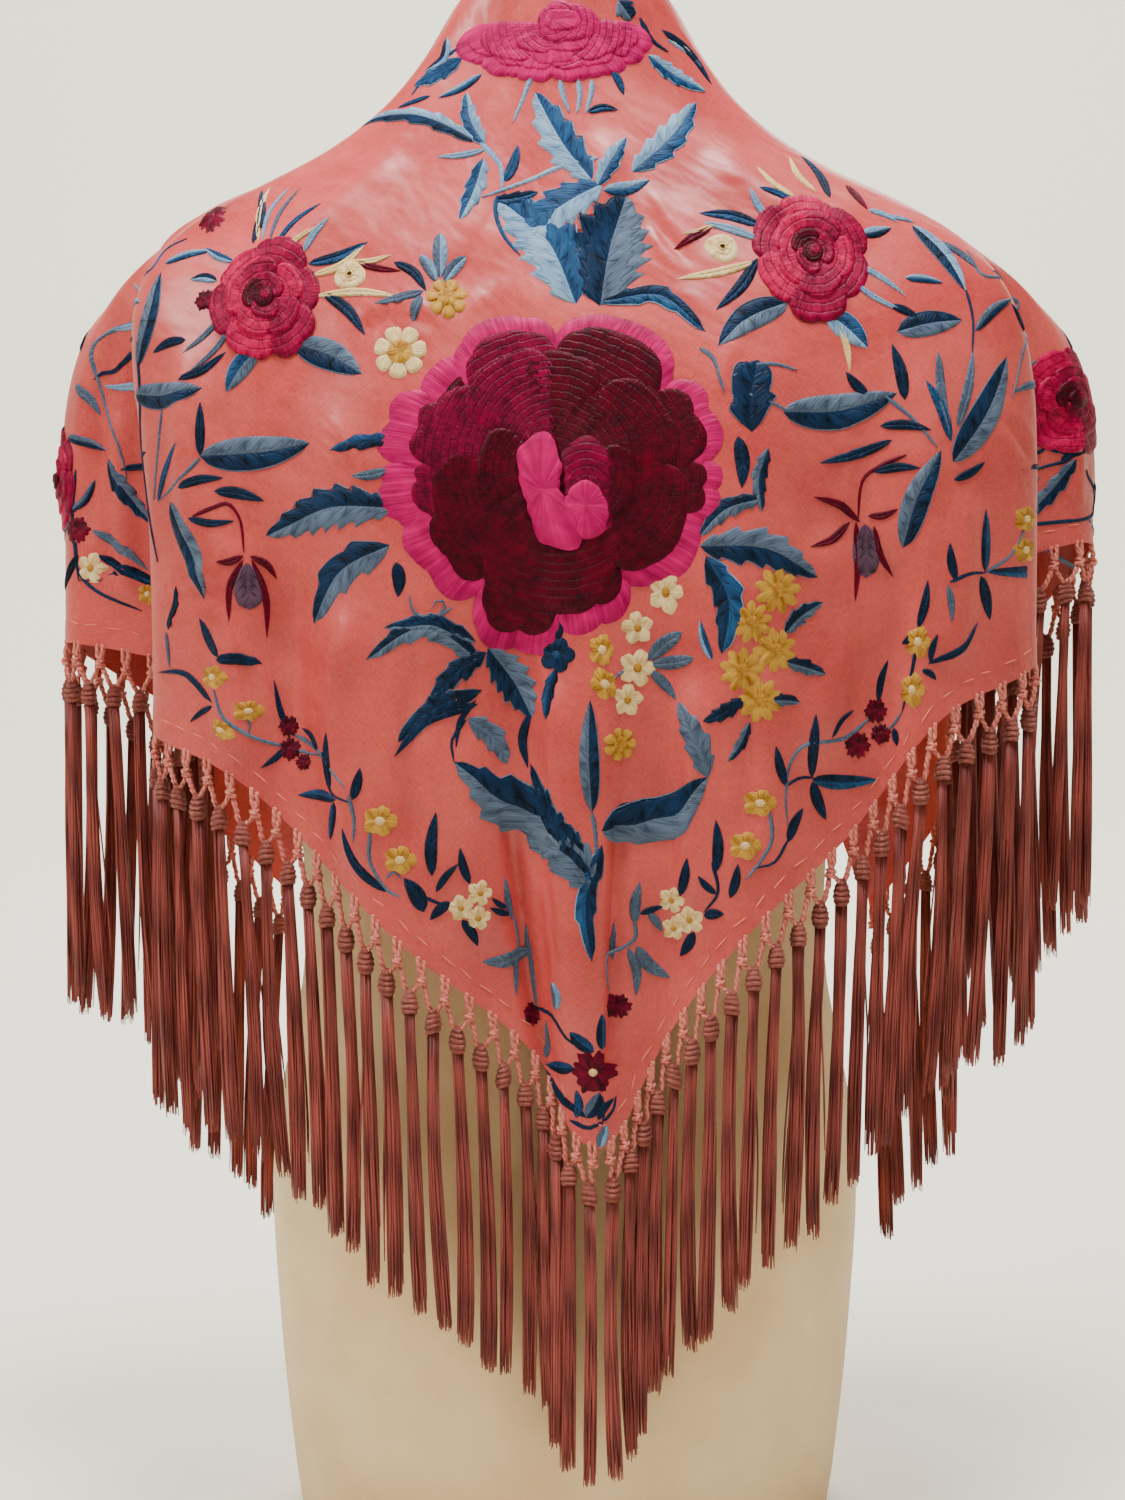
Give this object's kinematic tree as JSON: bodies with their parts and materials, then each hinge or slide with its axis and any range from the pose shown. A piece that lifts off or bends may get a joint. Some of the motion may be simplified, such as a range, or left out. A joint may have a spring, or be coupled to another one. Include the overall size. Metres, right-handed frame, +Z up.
{
  "type": "flamenco shawl on a dress form",
  "caption": "Triangular embroidered shawl with a knotted tassel fringe, draped over the shoulders of a limbless dress form that stands on its flat base.",
  "frame": {"origin": "centre of the dress form's flat base, on the surface that it stands on", "axes": "+Z up; the shawl's back, with the hanging tip, faces -Y; +X is the right-hand side seen from behind"},
  "size_m": [0.5676, 0.2812, 0.85],
  "materials": {
    "form_jersey": "matte jersey skin over a hard shell",
    "coral_crepe": "soft satin-backed crepe with thread embroidery",
    "fringe_silk": "twisted silky fringe thread"
  },
  "bodies": {
    "root": {"dress_form": "form_jersey", "shawl_cloth": "coral_crepe", "fringe_right": "fringe_silk", "fringe_left": "fringe_silk"}
  },
  "joints": []
}
